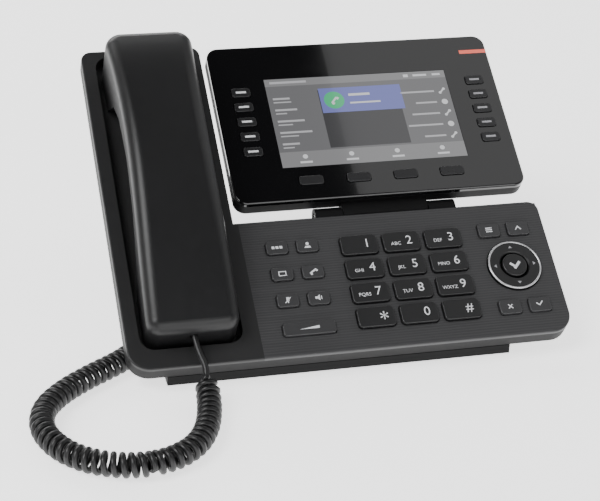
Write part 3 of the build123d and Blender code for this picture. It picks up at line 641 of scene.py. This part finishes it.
def curly(line, coil_from, coil_to, phase=0.0):
    """Path of the wire: straight, then wound round the line between two distances along it."""
    per_turn = 18
    step = TURN_PITCH / per_turn
    spots = evenly(line, step)
    across = frames(spots)
    radius = (COIL - WIRE) / 2
    lead = 1.6 * TURN_PITCH
    length = step * (len(spots) - 1)
    path = []
    for i, (spot, (side, other)) in enumerate(zip(spots, across)):
        reach = length * i / (len(spots) - 1)
        grown = swell((reach - coil_from) / lead) * swell((coil_to - reach) / lead)
        angle = phase + 2 * pi * reach / TURN_PITCH
        path.append(spot + (side * cos(angle) + other * sin(angle)) * radius * grown)
    return evenly(path, 0.0016), angle


def tube_mesh(name, path, diameter, sides=8):
    """Closed round tube along a path."""
    shape = bmesh.new()
    loops = []
    for spot, (side, other) in zip(path, frames(path)):
        loop = []
        for j in range(sides):
            angle = 2 * pi * j / sides
            loop.append(shape.verts.new(spot + (side * cos(angle) + other * sin(angle)) * diameter / 2))
        loops.append(loop)
    for here, there in zip(loops, loops[1:]):
        for j in range(sides):
            k = (j + 1) % sides
            shape.faces.new((here[j], there[j], there[k], here[k])).smooth = True
    shape.faces.new(loops[0])
    shape.faces.new(loops[-1])
    bmesh.ops.recalc_face_normals(shape, faces=shape.faces)
    mesh = bpy.data.meshes.new(name)
    shape.to_mesh(mesh)
    shape.free()
    return mesh


def handset_cord():
    """The curly cord, from the handset's end to its socket under the cradle."""
    line = smooth_line(HANDSET_TAIL + COIL_FRONT + SOCKET_TAIL)
    total = distances(line)
    whole = total[-1]
    tail_front, tail_rear = 0.024, 0.064            # straight stretches at the two ends
    split = 0.105                                   # before this, the cord gives as the handset is lifted
    front_line = [spot for spot, reach in zip(line, total) if reach <= split]
    cut, _ = at_distance(line, total, split)
    front_line.append(cut)
    rear_line = [cut] + [spot for spot, reach in zip(line, total) if reach > split]
    front, phase = curly(front_line, tail_front, split + 1.0)
    rear, _ = curly(rear_line, -1.0, whole - split - tail_rear, phase)
    front_piece = add_piece("cord_front", tube_mesh("cord_front", front, WIRE), None, VINYL)
    rear_piece = add_piece("cord_rear", tube_mesh("cord_rear", rear, WIRE), "base", VINYL)
    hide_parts("cord_straight_ends")
    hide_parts("cord_coil")
    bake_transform(front_piece)


handset_cord()


# ---------------------------------------------------------------- floor, light and camera
def floor():
    """Pale seamless floor, which isn't part of the phone."""
    shape = bmesh.new()
    bmesh.ops.create_grid(shape, x_segments=8, y_segments=8, size=6.0)
    mesh = bpy.data.meshes.new("floor")
    shape.to_mesh(mesh)
    shape.free()
    plane = bpy.data.objects.new("floor", mesh)
    bpy.context.scene.collection.objects.link(plane)
    material, shader, add, link = new_material("floor_paper")
    place = add("ShaderNodeTexCoord").outputs["Object"]
    cloud = add("ShaderNodeTexNoise", {"Vector": place, "Scale": 3.0, "Detail": 3.0})
    tint = add("ShaderNodeValToRGB", {"Fac": cloud.outputs["Fac"]})
    tint.color_ramp.elements[0].color = (0.90, 0.90, 0.90, 1)
    tint.color_ramp.elements[1].color = (0.93, 0.93, 0.93, 1)
    link(tint.outputs["Color"], shader.inputs["Base Color"])
    shader.inputs["Roughness"].default_value = 0.85
    shader.inputs["Emission Color"].default_value = (1.0, 1.0, 1.0, 1)
    shader.inputs["Emission Strength"].default_value = 1.7
    mesh.materials.append(material)


def area_light(name, place, target, size, power):
    """Soft box that looks at a target."""
    data = bpy.data.lights.new(name, "AREA")
    data.shape = "RECTANGLE"
    data.size, data.size_y = size
    data.energy = power
    lamp = bpy.data.objects.new(name, data)
    lamp.location = place
    lamp.rotation_euler = (Vector(target) - Vector(place)).to_track_quat("-Z", "Y").to_euler()
    bpy.context.scene.collection.objects.link(lamp)


def world_light():
    """Pale surroundings that darken towards the zenith."""
    world = bpy.data.worlds.new("surroundings")
    bpy.context.scene.world = world
    world.use_nodes = True
    tree = world.node_tree
    place = tree.nodes.new("ShaderNodeTexCoord")
    parts = tree.nodes.new("ShaderNodeSeparateXYZ")
    ramp = tree.nodes.new("ShaderNodeValToRGB")
    tree.links.new(place.outputs["Generated"], parts.inputs["Vector"])
    tree.links.new(parts.outputs["Z"], ramp.inputs["Fac"])
    tree.links.new(ramp.outputs["Color"], tree.nodes["Background"].inputs["Color"])
    ramp.color_ramp.elements[0].position = 0.0
    ramp.color_ramp.elements[0].color = (1.0, 1.0, 1.0, 1)
    ramp.color_ramp.elements[1].position = 0.55
    ramp.color_ramp.elements[1].color = (0.05, 0.05, 0.052, 1)
    tree.nodes["Background"].inputs["Strength"].default_value = 1.0


def camera():
    """Camera in front of the phone, to its left and above it."""
    azimuth, elevation, roll = radians(15.52), radians(28.63), radians(3.0)
    place = Vector((-0.2406, -0.8301, 0.4974))
    forward = Vector((sin(azimuth) * cos(elevation), cos(azimuth) * cos(elevation), -sin(elevation)))
    level = Vector((cos(azimuth), -sin(azimuth), 0))
    upright = level.cross(forward)
    right = level * cos(roll) + upright * sin(roll)
    up = upright * cos(roll) - level * sin(roll)
    data = bpy.data.cameras.new("camera")
    data.sensor_width = 36.0
    data.lens = 102.0
    eye = bpy.data.objects.new("camera", data)
    eye.matrix_world = Matrix.Translation(place) @ Matrix((right, up, -forward)).transposed().to_4x4()
    bpy.context.scene.collection.objects.link(eye)
    bpy.context.scene.camera = eye


floor()
world_light()
area_light("key", (-1.3, -0.5, 1.7), (0, 0, 0.05), (1.2, 1.2), 36)
area_light("right_box", (1.75, 0.3, 2.0), (0, 0, 0.05), (2.0, 2.6), 16)
area_light("back_box", (-0.3, 2.0, 1.2), (0, 0, 0.1), (2.4, 0.9), 32)
area_light("front_fill", (0.2, -2.2, 1.0), (0, 0, 0.05), (2.0, 1.0), 18)
camera()
